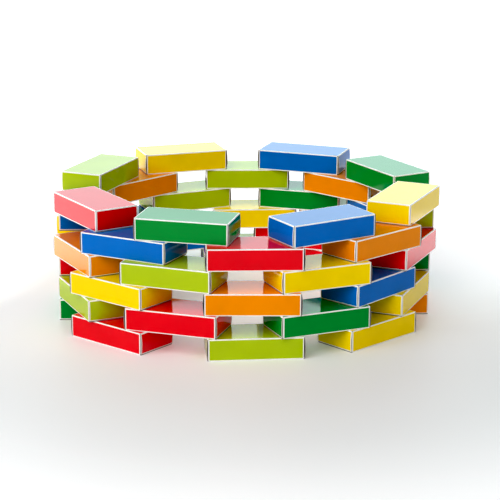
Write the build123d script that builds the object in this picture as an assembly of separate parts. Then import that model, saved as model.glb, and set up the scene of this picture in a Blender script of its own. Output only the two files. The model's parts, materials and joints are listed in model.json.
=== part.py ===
from build123d import *

import os
from math import cos, radians, sin

# A ring wall of loose, folded card cartons, laid like bricks.
# Frame: millimetres, +Z up, the origin on the floor at the middle of the ring, -Y to the front.

# One carton. Its length runs round the ring and its width points out from the middle.
CARTON_LENGTH = 250
CARTON_WIDTH = 124
CARTON_HEIGHT = 58.5
CARD = 1.5  # thickness of the laminated board
FOLD = 1  # flat on each long folded edge
SLIT = 0.4  # gap where one panel of the blank slides past another
END_INSET = 0.8  # how far an end panel stops short of the carton's two sides
TUCK_DEPTH = 28  # the flap on an end panel, tucked in over the bottom
DUST_DEPTH = 46  # each dust flap, folded in from a side behind the end panel

# The ring: each row is turned half a carton from the one below it.
ROWS = 6
ROW_GAP = 0.1  # the large faces aren't quite flat, so this much air stays between two rows
ROW_PITCH = CARTON_HEIGHT + ROW_GAP
CARTONS_PER_ROW = 8
RING_RADIUS = 452  # from the middle of the ring to the middle of a carton
STEP_ANGLE = 360 / CARTONS_PER_ROW
HALF_BOND = STEP_ANGLE / 2

# Names of the places in a row, counter-clockwise from above, starting at the front.
SQUARE_PLACES = [
    "front",
    "front_right",
    "right",
    "back_right",
    "back",
    "back_left",
    "left",
    "front_left",
]
TURNED_PLACES = [
    "front_right",
    "right_front",
    "right_back",
    "back_right",
    "back_left",
    "left_back",
    "left_front",
    "front_left",
]

# The wall is laid by hand, so a carton sits a little out of true:
# (mm outwards, mm counter-clockwise along the ring, degrees turned counter-clockwise).
OUT_OF_TRUE = {
    "row_1_front": (-2, 5, 3),
    "row_1_front_right": (5, -15, -4),
    "row_1_right": (-10, -15, 0),
    "row_1_back_right": (5, -10, 2),
    "row_1_back": (5, -10, 1),
    "row_1_back_left": (-5, 10, -2),
    "row_1_left": (0, 35, 0),
    "row_1_front_left": (25, -3, 3),
    "row_2_front_right": (0, -3, -2),
    "row_2_right_front": (-5, -35, -2),
    "row_2_right_back": (0, -10, 1),
    "row_2_back_right": (-10, -16, 2),
    "row_2_back_left": (-30, -10, -1),
    "row_2_left_back": (-10, 5, -2),
    "row_2_left_front": (15, 50, -1),
    "row_2_front_left": (5, -17, 2),
    "row_3_front": (-5, 1, -2),
    "row_3_front_right": (-5, 0, 1),
    "row_3_right": (-5, 15, 0),
    "row_3_back_right": (-5, 5, 2),
    "row_3_back": (-28, -45, 1),
    "row_3_back_left": (5, 10, -3),
    "row_3_left": (0, 5, 0),
    "row_3_front_left": (20, -10, 4),
    "row_4_front_right": (-5, 0, -2),
    "row_4_right_front": (0, -5, -4),
    "row_4_right_back": (10, 10, 3),
    "row_4_back_right": (5, -24, 4),
    "row_4_back_left": (-8, -5, -1),
    "row_4_left_back": (12, 0, 0),
    "row_4_left_front": (15, 35, 3),
    "row_4_front_left": (-5, -33, 0),
    "row_5_front": (-11, 5, 0),
    "row_5_front_right": (-5, 10, -5),
    "row_5_right": (5, 30, 0),
    "row_5_back_right": (0, -5, 1),
    "row_5_back": (-5, -25, -1),
    "row_5_back_left": (-2, 3, -3),
    "row_5_left": (0, -35, 0),
    "row_5_front_left": (-5, 16, 16),
    "row_6_front_right": (-23, 20, 6),
    "row_6_right_front": (0, 20, -4),
    "row_6_right_back": (5, 5, 5),
    "row_6_back_right": (0, -25, 1),
    "row_6_back_left": (5, 0, -7),
    "row_6_left_back": (10, -45, -2),
    "row_6_left_front": (0, 20, 7),
    "row_6_front_left": (-35, -6, 6),
}


def folded_sleeve():
    """The four long panels. The sides stop behind the end panels, the top and bottom don't."""
    outline = chamfer(Rectangle(CARTON_WIDTH, CARTON_HEIGHT).vertices(), FOLD)
    hollow = Rectangle(CARTON_WIDTH - 2 * CARD, CARTON_HEIGHT - 2 * CARD)
    tube = extrude(Plane.YZ * (outline - hollow), CARTON_LENGTH / 2, both=True)
    end_depth = CARD + SLIT
    end_space = Box(end_depth, CARTON_WIDTH, CARTON_HEIGHT - 2 * CARD)
    middle_of_end = (CARTON_LENGTH - end_depth) / 2
    return tube - Pos(middle_of_end, 0, 0) * end_space - Pos(-middle_of_end, 0, 0) * end_space


def tuck_end():
    """The closure at the +X end: end panel hinged on the top, its tuck flap, two dust flaps."""
    end_width = CARTON_WIDTH - 2 * END_INSET
    end_height = CARTON_HEIGHT - 2 * CARD - SLIT
    panel_x = (CARTON_LENGTH - CARD) / 2
    panel_z = CARTON_HEIGHT / 2 - CARD - end_height / 2
    panel = Pos(panel_x, 0, panel_z) * Box(CARD, end_width, end_height)
    tuck_x = (CARTON_LENGTH - TUCK_DEPTH) / 2
    tuck_z = 1.5 * CARD + SLIT - CARTON_HEIGHT / 2
    tuck = Pos(tuck_x, 0, tuck_z) * Box(TUCK_DEPTH, end_width - 2 * CARD, CARD)
    dust_height = end_height - CARD - 2 * SLIT
    dust = Box(CARD, DUST_DEPTH, dust_height)
    dust_x = CARTON_LENGTH / 2 - 1.5 * CARD - SLIT
    dust_y = (CARTON_WIDTH - DUST_DEPTH) / 2
    dust_z = (CARTON_HEIGHT - dust_height) / 2 - CARD - SLIT
    flaps = [Pos(dust_x, side * dust_y, dust_z) * dust for side in (-1, 1)]
    return [panel, tuck, *flaps]


def carton():
    """One folded carton, one piece of card, lying on its large face with its middle at the origin."""
    body = folded_sleeve()
    for turn in (0, 180):
        for piece in tuck_end():
            body += Rot(0, 0, turn) * piece
    return body.solid()


def laid_cartons():
    """(name, place, turn in degrees) of every carton. Turned by 0, a carton's outer side faces -Y."""
    for row in range(ROWS):
        turned = row % 2 == 1
        places = TURNED_PLACES if turned else SQUARE_PLACES
        for step, place in enumerate(places):
            name = f"row_{row + 1}_{place}"
            outwards, along, twist = OUT_OF_TRUE.get(name, (0, 0, 0))
            angle = step * STEP_ANGLE + (HALF_BOND if turned else 0)
            a = radians(angle)
            radius = RING_RADIUS + outwards
            x = radius * sin(a) + along * cos(a)
            y = along * sin(a) - radius * cos(a)
            z = row * ROW_PITCH + CARTON_HEIGHT / 2
            yield name, (x, y, z), angle + twist


os.makedirs("parts", exist_ok=True)
one_carton = carton()
for name, place, turn in laid_cartons():
    laid = Pos(*place) * Rot(0, 0, turn) * one_carton
    laid.label = name
    export_step(laid, f"parts/{name}.step")
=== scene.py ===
"""Looks for the ring wall of giant tumbling tower cartons: 48 folded, glossy, printed card cartons."""

import json
from math import atan2, cos, pi, radians, sin
from random import Random

import bpy
from mathutils import Matrix, Vector


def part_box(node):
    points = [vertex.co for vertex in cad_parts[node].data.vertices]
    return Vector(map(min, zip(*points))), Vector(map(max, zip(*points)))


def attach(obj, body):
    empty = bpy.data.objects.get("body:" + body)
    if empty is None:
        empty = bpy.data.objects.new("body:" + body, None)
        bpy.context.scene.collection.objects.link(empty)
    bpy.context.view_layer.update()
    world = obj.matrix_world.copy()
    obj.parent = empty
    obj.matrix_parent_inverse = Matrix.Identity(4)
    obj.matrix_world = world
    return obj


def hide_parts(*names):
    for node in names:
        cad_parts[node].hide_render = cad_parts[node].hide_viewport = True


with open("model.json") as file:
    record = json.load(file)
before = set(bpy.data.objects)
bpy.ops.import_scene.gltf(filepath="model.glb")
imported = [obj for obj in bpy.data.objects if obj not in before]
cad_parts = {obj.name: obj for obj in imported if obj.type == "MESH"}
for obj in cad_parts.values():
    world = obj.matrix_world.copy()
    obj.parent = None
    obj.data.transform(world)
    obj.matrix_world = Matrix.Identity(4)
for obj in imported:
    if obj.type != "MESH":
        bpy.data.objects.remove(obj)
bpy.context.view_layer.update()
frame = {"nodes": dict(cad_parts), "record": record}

MM = 0.001

# The board that a carton is folded from, as in the CAD model.
BOARD = 1.5 * MM
SLIT = 0.4 * MM  # gap where one panel slides past another
END_INSET = 0.8 * MM  # an end panel stops this far short of the carton's sides
TUCK_DEPTH = 28 * MM
DUST_DEPTH = 46 * MM
GLUE_FLAP = 14 * MM
FOLD_RADIUS = 1.3 * MM  # outside radius of a fold in this board
FOLD_STEPS = 4
MARGIN = 2.9 * MM  # white unprinted border round each printed face
CORNER_LOOP = 11 * MM  # an extra loop of the mesh, so that a knocked corner fades out

# How much one carton differs from the next.
END_BOW = (1.6 * MM, 3.4 * MM)  # an end panel bulges outwards between its fold and its tuck
SIDE_BOW = (-0.3 * MM, 0.5 * MM)
SAG = (0.05 * MM, 0.3 * MM)  # the large faces dip a little between their folds
KNOCK = 0.9 * MM  # how far in a corner may be pushed
KNOCK_REACH = 9 * MM
WELD = 0.001 * MM  # points of the blank nearer than this are one point
SHARP_ANGLE = radians(35)  # a steeper edge isn't shaded smooth

PRINT, WHITE, CORE, INSIDE = range(4)  # material slots of a carton


def turned_arc(steps):
    """Angles from just after 0 to a quarter turn."""
    return [pi / 2 * (i + 1) / steps for i in range(steps)]


def even(low, high, pieces):
    """Stations strictly between low and high."""
    return [low + (high - low) * i / pieces for i in range(1, pieces)]


def mirrored(stations):
    """Stations on the positive side, repeated on the negative side."""
    return sorted({-s for s in stations} | set(stations))


class Blank:
    """The folded blank: vertices by place, so that panels share them, and faces with a material."""

    def __init__(self):
        self.places = []
        self.index = {}
        self.faces = []
        self.kinds = []

    def vertex(self, place):
        key = tuple(round(c / WELD) for c in place)
        if key not in self.index:
            self.index[key] = len(self.places)
            self.places.append(Vector(place))
        return self.index[key]

    def sheet(self, rows, kind):
        """Faces over a grid of points. kind(i, j) is the material of the face after row i and column j."""
        grid = [[self.vertex(p) for p in row] for row in rows]
        for i in range(len(grid) - 1):
            for j in range(len(grid[i]) - 1):
                corners = (grid[i][j], grid[i + 1][j], grid[i + 1][j + 1], grid[i][j + 1])
                self.faces.append(corners)
                self.kinds.append(kind(i, j))


def within(a, b, limit):
    """True if the stretch from a to b lies inside plus or minus limit."""
    return max(abs(a), abs(b)) <= limit + 0.01 * MM


def sleeve_profile(width, height):
    """Points round the sleeve in (y, z), from the glue seam and back to it, each with its panel's name.
    -y is the carton's outer side. The list starts at the foot of the inner side."""
    w, h, r = width / 2, height / 2, FOLD_RADIUS
    across = mirrored([w - r, w - MARGIN, w - CORNER_LOOP, (w - CORNER_LOOP) / 2, 0])
    up = mirrored([h - r, h - MARGIN, h - CORNER_LOOP, 0])
    points = [("inner", w, -h)]
    points += [("inner", w, z) for z in up]
    points += [("fold", w - r + r * cos(a), h - r + r * sin(a)) for a in turned_arc(FOLD_STEPS)[:-1]]
    points += [("top", y, h) for y in reversed(across)]
    points += [("fold", -w + r - r * sin(a), h - r + r * cos(a)) for a in turned_arc(FOLD_STEPS)[:-1]]
    points += [("outer", -w, z) for z in reversed(up)]
    points += [("fold", -w + r - r * cos(a), -h + r - r * sin(a)) for a in turned_arc(FOLD_STEPS)[:-1]]
    foot = w - BOARD - SLIT / 2
    points += [("bottom", y, -h) for y in across if y < foot - r]
    points += [("bottom", foot - r, -h)]
    points += [("glue", foot - r + r * sin(a), -h + r - r * cos(a)) for a in turned_arc(FOLD_STEPS)]
    points += [("glue", foot, -h + r + GLUE_FLAP)]
    return points


def lip_stations(length):
    """Stations of the top and bottom past the sides' own ends, out to where the long folds stop."""
    side_end = length / 2 - BOARD - SLIT
    return [side_end - FOLD_RADIUS, length / 2 - MARGIN, side_end]


def folded_blank(length, width, height):
    """The outside of one carton's blank, folded up, lying on its large face with its middle at 0."""
    blank = Blank()
    w, h = width / 2, height / 2
    side_end = length / 2 - BOARD - SLIT
    last = side_end - FOLD_RADIUS
    inner_loop = side_end - CORNER_LOOP
    along = mirrored([last, side_end - MARGIN, inner_loop] + even(0, inner_loop, 5) + [0])
    profile = sleeve_profile(width, height)

    def kind(i, j):
        panel, y, z = profile[i]
        after, y_after, z_after = profile[i + 1]
        if panel != after or panel in ("fold", "glue"):
            return WHITE
        if panel in ("top", "bottom"):
            return PRINT if within(y, y_after, w - MARGIN) else WHITE
        inside = within(z, z_after, h - MARGIN) and within(along[j], along[j + 1], side_end - MARGIN)
        return PRINT if inside else WHITE

    blank.sheet([[(x, y, z) for x in along] for _, y, z in profile], kind)
    top_across = [y for panel, y, z in profile if panel == "top"]
    bottom_across = [y for panel, y, z in profile if panel == "bottom"]
    side_up = sorted(z for panel, y, z in profile if panel == "outer")
    for end in (-1, 1):
        end_closure(blank, end, top_across, length, width, height)
        bottom_lip(blank, end, bottom_across, length, width, height)
        fold_ends(blank, end, profile, length)
        for side in (-1, 1):
            dust_flap(blank, end, side, side_up, length, width, height)
    return blank


def end_closure(blank, end, across, length, width, height):
    """The top runs on over a fold into the end panel, and that into the tuck flap."""
    w, h, r = width / 2, height / 2, FOLD_RADIUS
    foot = -h + BOARD + SLIT
    half = w - END_INSET
    start, border, slit = lip_stations(length)
    path = [(start, h, 0, "top")]
    path += [(x, h, 0, "fold") for x in (border, slit, length / 2 - r)]
    for a in turned_arc(FOLD_STEPS):
        path.append((length / 2 - r + r * sin(a), h - r + r * cos(a), a / (pi / 2), "fold"))
    panel_top, panel_foot = h - MARGIN, foot + MARGIN
    path += [(length / 2, z, 1, "panel") for z in [panel_top] + even(panel_top, panel_foot, 8)]
    path += [(length / 2, panel_foot, 1, "fold"), (length / 2, foot + r, 1, "fold")]
    for a in turned_arc(FOLD_STEPS):
        path.append((length / 2 - r + r * cos(a), foot + r - r * sin(a), 1, "fold"))
    path.append((length / 2 - TUCK_DEPTH, foot, 1, "fold"))

    def spread(y, share):
        """The outermost columns move out to the end panel's edge, and the next ones to its border."""
        if not within(y, y, w - MARGIN):
            to = half
        elif not within(y, y, w - CORNER_LOOP):
            to = half - MARGIN
        else:
            return y
        return y + ((to if y > 0 else -to) - y) * share

    rows = []
    for x, z, share, _ in path:
        row = [(end * x, spread(y, share), z) for y in across]
        rows.append(row if end < 0 else row[::-1])

    def kind(i, j):
        reach = {"top": w - MARGIN, "panel": half - MARGIN, "fold": 0}[path[i][3]]
        return PRINT if within(rows[i][j][1], rows[i][j + 1][1], reach) else WHITE

    blank.sheet(rows, kind)


def bottom_lip(blank, end, across, length, width, height):
    """The bottom runs on under the end panel, and ends in a cut edge."""
    rows = []
    for x in lip_stations(length) + [length / 2]:
        row = [(end * x, y, -height / 2) for y in across]
        rows.append(row if end < 0 else row[::-1])

    def kind(i, j):
        printed = i == 0 and within(rows[i][j][1], rows[i][j + 1][1], width / 2 - MARGIN)
        return PRINT if printed else WHITE

    blank.sheet(rows, kind)


def fold_ends(blank, end, profile, length):
    """The long folds run on past the sides' own ends, as far as the slit."""
    for i in range(len(profile) - 1):
        panels = {profile[i][0], profile[i + 1][0]}
        if panels <= {"inner"} or panels <= {"outer"} or panels <= {"top"} or panels <= {"bottom"}:
            continue
        columns = [end * x for x in lip_stations(length)][::end]
        rows = [[(x, y, z) for x in columns] for _, y, z in profile[i:i + 2]]
        blank.sheet(rows, lambda i, j: WHITE)


def dust_flap(blank, end, side, up, length, width, height):
    """A side runs on over a fold into a dust flap behind the end panel."""
    w, h, r = width / 2, height / 2, FOLD_RADIUS
    side_end = length / 2 - BOARD - SLIT
    flat = h - r
    top, foot = h - BOARD - SLIT, -h + 2 * (BOARD + SLIT)
    path = [(side_end - r, w, 0)]
    path += [(side_end - r + r * sin(a), w - r + r * cos(a), a / (pi / 2)) for a in turned_arc(FOLD_STEPS)]
    path += [(side_end, w - DUST_DEPTH, 1)]
    rows = []
    for x, y, share in path:
        low = -flat + (foot + flat) * share
        high = flat + (top - flat) * share
        row = [(end * x, side * y, low + (high - low) * (z + flat) / (2 * flat)) for z in up]
        rows.append(row if end * side < 0 else row[::-1])
    blank.sheet(rows, lambda i, j: WHITE)


def shaped(blank, length, width, height, chance):
    """The blank's points, moved as card moves: ends and sides bow, large faces dip, corners are knocked."""
    l, w, h = length / 2, width / 2, height / 2
    bow = {end: chance.uniform(*END_BOW) for end in (-1, 1)}
    side_bow = {side: chance.uniform(*SIDE_BOW) for side in (-1, 1)}
    sag = {face: chance.uniform(*SAG) for face in (-1, 1)}
    corners = [(x, y, z) for x in (-l, l) for y in (-w, w) for z in (-h, h)]
    knocks = [(Vector(c), KNOCK * chance.random() ** 3) for c in corners]
    moved = []
    for p in blank.places:
        q = p.copy()
        end, side, face = (1 if c > 0 else -1 for c in p)
        across, up, along = 1 - (p.y / w) ** 2, 1 - (p.z / h) ** 2, 1 - (p.x / l) ** 2
        if abs(p.x) > l - 0.5 * BOARD:
            q.x += end * bow[end] * up * (0.85 + 0.15 * across)
        if abs(p.y) > w - 0.1 * BOARD:
            q.y += side * side_bow[side] * up * along
        if abs(p.z) > h - 0.1 * BOARD:
            q.z -= face * sag[face] * across * along
        for corner, depth in knocks:
            near = max(0, 1 - (p - corner).length / KNOCK_REACH)
            q -= corner.normalized() * depth * near * near
        moved.append(q)
    return moved


def carton_mesh(name, length, width, height, materials, chance):
    """The folded blank with the board's thickness."""
    blank = folded_blank(length, width, height)
    skin = bpy.data.meshes.new(name + "_skin")
    skin.from_pydata(shaped(blank, length, width, height, chance), [], blank.faces)
    for m in materials:
        skin.materials.append(m)
    skin.polygons.foreach_set("material_index", blank.kinds)
    skin.polygons.foreach_set("use_smooth", [True] * len(blank.faces))
    place = skin.attributes.new("card_place", "FLOAT_VECTOR", "POINT")
    shift = Vector(chance.uniform(-5, 5) for _ in range(3))
    place.data.foreach_set("vector", [c for p in blank.places for c in p + shift])
    fold = skin.attributes.new("fold_distance", "FLOAT", "POINT")
    fold.data.foreach_set("value", [fold_distance(p, length, width, height) for p in blank.places])
    holder = bpy.data.objects.new(name + "_skin", skin)
    bpy.context.scene.collection.objects.link(holder)
    thick = holder.modifiers.new("board", "SOLIDIFY")
    thick.thickness = BOARD
    thick.offset = -1
    thick.material_offset = INSIDE
    thick.material_offset_rim = CORE - WHITE
    graph = bpy.context.evaluated_depsgraph_get()
    mesh = bpy.data.meshes.new_from_object(holder.evaluated_get(graph), depsgraph=graph)
    bpy.data.objects.remove(holder)
    bpy.data.meshes.remove(skin)
    mesh.name = name
    mesh.set_sharp_from_angle(angle=SHARP_ANGLE)
    return mesh


def fold_distance(p, length, width, height):
    """How far a point of the outside is from the nearest fold or cut edge."""
    gaps = sorted((length / 2 - abs(p.x), width / 2 - abs(p.y), height / 2 - abs(p.z)))
    return max(0.0, gaps[1])


# Materials -----------------------------------------------------------------------------------

def material(name):
    m = bpy.data.materials.new(name)
    m.use_nodes = True
    return m, m.node_tree.nodes, m.node_tree.links, m.node_tree.nodes["Principled BSDF"]


def attribute(nodes, name):
    node = nodes.new("ShaderNodeAttribute")
    node.attribute_name = name
    return node


def noise(nodes, links, vector, scale, detail=2.0, roughness=0.5):
    node = nodes.new("ShaderNodeTexNoise")
    node.inputs["Scale"].default_value = scale
    node.inputs["Detail"].default_value = detail
    node.inputs["Roughness"].default_value = roughness
    links.new(vector, node.inputs["Vector"])
    return node.outputs["Fac"]


def mapped(nodes, links, value, low, high, to_low, to_high):
    node = nodes.new("ShaderNodeMapRange")
    node.inputs["From Min"].default_value = low
    node.inputs["From Max"].default_value = high
    node.inputs["To Min"].default_value = to_low
    node.inputs["To Max"].default_value = to_high
    links.new(value, node.inputs["Value"])
    return node.outputs["Result"]


def maths(nodes, links, operation, a, b):
    node = nodes.new("ShaderNodeMath")
    node.operation = operation
    for socket, value in zip(node.inputs, (a, b)):
        if isinstance(value, (int, float)):
            socket.default_value = value
        else:
            links.new(value, socket)
    return node.outputs[0]


def bump(nodes, links, height, strength, depth):
    node = nodes.new("ShaderNodeBump")
    node.inputs["Strength"].default_value = strength
    node.inputs["Distance"].default_value = depth
    links.new(height, node.inputs["Height"])
    return node


def mixed(nodes, links, share, a, b):
    """A mix of two colours, each a socket or three numbers."""
    node = nodes.new("ShaderNodeMix")
    node.data_type = "RGBA"
    links.new(share, node.inputs["Factor"])
    for socket, value in ((node.inputs[6], a), (node.inputs[7], b)):
        if isinstance(value, (list, tuple)):
            socket.default_value = (*value, 1)
        else:
            links.new(value, socket)
    return node.outputs[2]


FILM_IOR = 1.3
FILM_ROUGHNESS = (0.035, 0.075)  # clean, smudged
RUBBED_ROUGHNESS = 0.35  # what full rubbing adds
CLOUDS = (0.955, 1.03)  # how far the print's strength drifts over a face
GRAIN = 0.012  # and from point to point
RUB = 0.7  # the most that a fold's print has worn away
RUB_REACH = (0.4 * MM, 2.6 * MM)  # from the fold, where the rubbing starts to fade and where it ends
WAVE_DEPTH = 0.05 * MM  # slow waves of the board
PEEL_DEPTH = 0.0012 * MM  # fine waves of the film
# Noise scales, per metre.
CLOUD_SCALE = 14
GRAIN_SCALE = 2200
RUB_SCALE = 160
SMUDGE_SCALE = 45
WAVE_SCALE = 26
PEEL_SCALE = 900


def laminated(name, colour, worn):
    """Card printed in one colour under clear film. worn is the colour where the folds have rubbed."""
    m, nodes, links, shader = material(name)
    place = attribute(nodes, "card_place").outputs["Vector"]
    edge = attribute(nodes, "fold_distance").outputs["Fac"]
    cloudy = noise(nodes, links, place, CLOUD_SCALE, 3)
    grain = noise(nodes, links, place, GRAIN_SCALE, 1)
    shade = maths(nodes, links, "ADD", mapped(nodes, links, cloudy, 0.3, 0.7, *CLOUDS),
                  mapped(nodes, links, grain, 0.3, 0.7, -GRAIN, GRAIN))
    tint = nodes.new("ShaderNodeMix")
    tint.data_type = "RGBA"
    tint.blend_type = "MULTIPLY"
    tint.inputs["Factor"].default_value = 1
    tint.inputs[6].default_value = (*colour, 1)
    links.new(shade, tint.inputs[7])
    rubbed = noise(nodes, links, place, RUB_SCALE, 4, 0.65)
    near_fold = mapped(nodes, links, edge, *RUB_REACH, 1, 0)
    rub = maths(nodes, links, "MULTIPLY", near_fold, mapped(nodes, links, rubbed, 0.52, 0.68, 0, RUB))
    links.new(mixed(nodes, links, rub, tint.outputs[2], worn), shader.inputs["Base Color"])
    smudge = noise(nodes, links, place, SMUDGE_SCALE, 5, 0.6)
    polish = mapped(nodes, links, smudge, 0.35, 0.7, *FILM_ROUGHNESS)
    dulled = maths(nodes, links, "MULTIPLY", rub, RUBBED_ROUGHNESS)
    links.new(maths(nodes, links, "ADD", polish, dulled), shader.inputs["Roughness"])
    shader.inputs["IOR"].default_value = FILM_IOR
    wave = bump(nodes, links, noise(nodes, links, place, WAVE_SCALE, 1), 1, WAVE_DEPTH)
    peel = bump(nodes, links, noise(nodes, links, place, PEEL_SCALE, 2), 1, PEEL_DEPTH)
    links.new(wave.outputs["Normal"], peel.inputs["Normal"])
    links.new(peel.outputs["Normal"], shader.inputs["Normal"])
    return m


FUZZ_DEPTH = 0.1 * MM
LAYER_SHADE = 0.62  # the board's dark fibres against its pale ones


def grey_board(name, colour, streak):
    """Unprinted board, for the cut edges and the inside. streak is the fibre noise's scale."""
    m, nodes, links, shader = material(name)
    place = attribute(nodes, "card_place").outputs["Vector"]
    fibre = noise(nodes, links, place, streak, 4, 0.7)
    dark = tuple(LAYER_SHADE * c for c in colour)
    links.new(mixed(nodes, links, mapped(nodes, links, fibre, 0.35, 0.65, 0, 1), dark, colour),
              shader.inputs["Base Color"])
    shader.inputs["Roughness"].default_value = 0.9
    shader.inputs["Specular IOR Level"].default_value = 0.2
    fuzz = bump(nodes, links, fibre, 0.6, FUZZ_DEPTH)
    links.new(fuzz.outputs["Normal"], shader.inputs["Normal"])
    return m


BORDER_WHITE = (0.95, 0.95, 0.93)
WORN_WHITE = (0.84, 0.83, 0.80)
CORE_GREY = (0.30, 0.28, 0.26)
INSIDE_GREY = (0.45, 0.42, 0.38)
CORE_STREAK = 3000
INSIDE_STREAK = 400
white_card = laminated("white_border", BORDER_WHITE, WORN_WHITE)
board_core = grey_board("board_core", CORE_GREY, CORE_STREAK)
board_inside = grey_board("board_inside", INSIDE_GREY, INSIDE_STREAK)
prints = {}
for entry in frame["record"]["materials"]:
    prints[entry["slot"]] = laminated(entry["slot"] + "_print", entry["base_color"][:3], BORDER_WHITE)


# Cartons -------------------------------------------------------------------------------------

def laid(node):
    """Middle, turn and size of a carton, from its CAD mesh. Its local -y points out of the ring."""
    low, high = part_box(node)
    middle = (low + high) / 2
    places = [v.co - middle for v in frame["nodes"][node].data.vertices]
    xx, yy, xy = (sum(p[i] * p[j] for p in places) for i, j in ((0, 0), (1, 1), (0, 1)))
    turn = atan2(2 * xy, xx - yy) / 2
    if middle.x * sin(turn) - middle.y * cos(turn) < 0:
        turn += pi
    local = [Matrix.Rotation(-turn, 3, "Z") @ p for p in places]
    size = [2 * max(abs(p[axis]) for p in local) for axis in range(3)]
    return middle, turn, size


def carton(node, slot):
    middle, turn, size = laid(node)
    chance = Random(node)
    materials = [prints[slot], white_card, board_core, board_inside]
    mesh = carton_mesh("carton_" + node, *size, materials, chance)
    piece = bpy.data.objects.new("carton_" + node, mesh)
    bpy.context.scene.collection.objects.link(piece)
    piece.matrix_world = Matrix.Translation(middle) @ Matrix.Rotation(turn, 4, "Z")
    return piece


body_of = {}
for body, nodes_in_body in frame["record"]["behaviour"]["bodies"].items():
    for node in nodes_in_body:
        body_of[node] = body
for part in frame["record"]["subparts"]:
    piece = carton(part["node"], part["material_slot"])
    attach(piece, body_of[part["node"]])
    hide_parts(part["node"])


# Studio --------------------------------------------------------------------------------------

# Painted light: the floor glows in the ring's own shadow, in place of the fill from the backdrop and the
# ceiling, and out at both sides, where the cartons mirror it. Place, radius of the full glow, radius where
# it is gone, strength.
FLOOR_GLOWS = {
    "inside": (0.0, -0.2, 0.12, 0.34, 0.27),
    "right_back": (0.5, 0.16, 0.15, 0.5, 0.2),
    "behind": (0.1, 0.6, 0.13, 0.45, 0.2),
    "left": (-1.7, 0.55, 0.6, 1.2, 2.2),
    "right": (1.15, 0.35, 0.15, 0.42, 1.4),
}
# Far from the ring the floor is white: place, radius where the glow starts, radius where it is full,
# strength.
FAR_GLOW = (0.0, -0.25, 0.75, 1.5, 0.28)
FLOOR_GLOW = 0.13
FLOOR_GLOW_TINT = (1.0, 0.95, 0.97, 1)
FRONT_SHADE = 0.1  # painted shade: the floor glows this much less at the front right
FLOOR_HALF = 20
FLOOR_GREY = (0.80, 0.80, 0.80, 1)
FLOOR_ROUGHNESS = 0.55
FLOOR_SPECULAR = 0.25


def round_glow(nodes, links, place, x, y, start, stop, at_start, at_stop):
    """A glow that changes smoothly with the distance from a point of the floor."""
    gap = nodes.new("ShaderNodeVectorMath")
    gap.operation = "DISTANCE"
    links.new(place, gap.inputs[0])
    gap.inputs[1].default_value = (x, y, 0)
    glow = mapped(nodes, links, gap.outputs["Value"], start, stop, at_start, at_stop)
    glow.node.interpolation_type = "SMOOTHSTEP"
    return glow


def studio_floor():
    """A plain pale floor with painted light: it glows a little, most in the ring's shadow, behind the ring
    and far from the ring, and less at the front right.
    """
    half = FLOOR_HALF
    mesh = bpy.data.meshes.new("floor")
    corners = [(-half, -half, 0), (half, -half, 0), (half, half, 0), (-half, half, 0)]
    mesh.from_pydata(corners, [], [(0, 1, 2, 3)])
    floor = bpy.data.objects.new("floor", mesh)
    bpy.context.scene.collection.objects.link(floor)
    m, nodes, links, shader = material("floor_paint")
    shader.inputs["Base Color"].default_value = FLOOR_GREY
    shader.inputs["Roughness"].default_value = FLOOR_ROUGHNESS
    shader.inputs["Specular IOR Level"].default_value = FLOOR_SPECULAR
    place = nodes.new("ShaderNodeTexCoord").outputs["Object"]
    split = nodes.new("ShaderNodeSeparateXYZ")
    links.new(place, split.inputs[0])
    x, y = split.outputs["X"], split.outputs["Y"]
    # Painted shade at the front right, and painted light that rises behind the ring.
    shade_across = mapped(nodes, links, x, -0.1, 0.6, 0, FRONT_SHADE)
    shade_front = mapped(nodes, links, y, 0.1, -0.4, 0, 1)
    front_right = maths(nodes, links, "MULTIPLY", shade_across, shade_front)
    behind = mapped(nodes, links, y, 0, 0.8, FLOOR_GLOW, 2 * FLOOR_GLOW)
    glow = maths(nodes, links, "SUBTRACT", behind, front_right)
    # Painted light: glowing patches in the ring's shadow and at both sides, and the far floor's glow.
    patches = [round_glow(nodes, links, place, *patch, 0) for patch in FLOOR_GLOWS.values()]
    patches.append(round_glow(nodes, links, place, *FAR_GLOW[:4], 0, FAR_GLOW[4]))
    for patch in patches:
        glow = maths(nodes, links, "ADD", glow, patch)
    links.new(glow, shader.inputs["Emission Strength"])
    shader.inputs["Emission Color"].default_value = FLOOR_GLOW_TINT
    mesh.materials.append(m)


# Each soft light of the studio: azimuth from the back towards the right and elevation, in degrees;
# the half angles out to which it is full and beyond which it is nothing; strength; colour.
AMBIENT = 0.04
WARM, NEUTRAL, COOL = (1.0, 0.985, 0.965), (1.0, 1.0, 1.0), (0.84, 1.0, 1.04)
SOFT_LIGHTS = {
    "key": (225, 43, 10, 38, 3.45, WARM),
    "fill": (135, 42, 10, 38, 0.78, WARM),
    "front": (180, 30, 10, 38, 0.3, WARM),
    "backdrop": (0, 13, 10, 40, 2.2, COOL),
    "backdrop_right": (45, 14, 10, 40, 0.7, COOL),
    "backdrop_left": (315, 14, 10, 40, 0.7, COOL),
    "side": (270, 40, 10, 38, 0.3, NEUTRAL),
}


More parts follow.
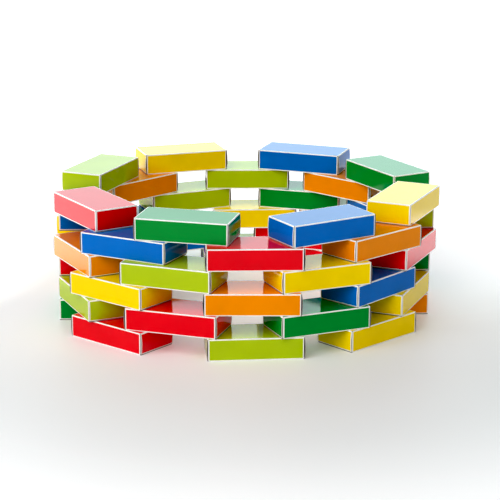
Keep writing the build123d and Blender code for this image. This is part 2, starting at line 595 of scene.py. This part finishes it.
def studio_world():
    """Soft lights at a distance, on a dim surrounding."""
    world = bpy.data.worlds.new("studio")
    bpy.context.scene.world = world
    world.use_nodes = True
    nodes, links = world.node_tree.nodes, world.node_tree.links
    direction = nodes.new("ShaderNodeTexCoord").outputs["Generated"]
    total = None
    for azimuth, elevation, full, nothing, strength, colour in SOFT_LIGHTS.values():
        a, e = radians(azimuth), radians(elevation)
        near = nodes.new("ShaderNodeVectorMath")
        near.operation = "DOT_PRODUCT"
        near.inputs[1].default_value = (sin(a) * cos(e), cos(a) * cos(e), sin(e))
        links.new(direction, near.inputs[0])
        fade = nodes.new("ShaderNodeMapRange")
        fade.interpolation_type = "SMOOTHSTEP"
        fade.inputs["From Min"].default_value = cos(radians(nothing))
        fade.inputs["From Max"].default_value = cos(radians(full))
        links.new(near.outputs["Value"], fade.inputs["Value"])
        glow = nodes.new("ShaderNodeVectorMath")
        glow.operation = "MULTIPLY_ADD"
        links.new(fade.outputs["Result"], glow.inputs[0])
        glow.inputs[1].default_value = [strength * c for c in colour]
        glow.inputs[2].default_value = [AMBIENT] * 3
        if total:
            links.new(total, glow.inputs[2])
        total = glow.outputs["Vector"]
    links.new(total, nodes["Background"].inputs["Color"])
    nodes["Background"].inputs["Strength"].default_value = 1


LENS_MM = 125.5
SENSOR_MM = 36
CAMERA_PLACE = (-0.2048, -4.7293, 1.4773)
CAMERA_DOWN = radians(15.66)
CAMERA_ACROSS = radians(2.658)  # towards the right of straight back
CAMERA_ROLL = radians(0.23)


def studio_camera():
    """Long lens, a little to the left, looking down at the ring."""
    data = bpy.data.cameras.new("camera")
    data.sensor_width = SENSOR_MM
    data.lens = LENS_MM
    camera = bpy.data.objects.new("camera", data)
    bpy.context.scene.collection.objects.link(camera)
    bpy.context.scene.camera = camera
    down, across, roll = CAMERA_DOWN, CAMERA_ACROSS, CAMERA_ROLL
    forward = Vector((sin(across) * cos(down), cos(across) * cos(down), -sin(down)))
    right = Vector((cos(across), -sin(across), 0))
    up = right.cross(forward)
    rolled = right * cos(roll) + up * sin(roll)
    turn = Matrix((rolled, rolled.cross(forward), -forward)).transposed()
    camera.matrix_world = Matrix.Translation(CAMERA_PLACE) @ turn.to_4x4()


GAMMA = 0.9
BLACK_LEVEL = 0.016


def photographic_view():
    """Deeper shades than the plain view, as in a retouched product photograph."""
    view = bpy.context.scene.view_settings
    view.view_transform = "Standard"
    view.gamma = GAMMA
    view.use_curve_mapping = True
    view.curve_mapping.black_level = [BLACK_LEVEL] * 3
    view.curve_mapping.update()


studio_floor()
studio_world()
studio_camera()
photographic_view()
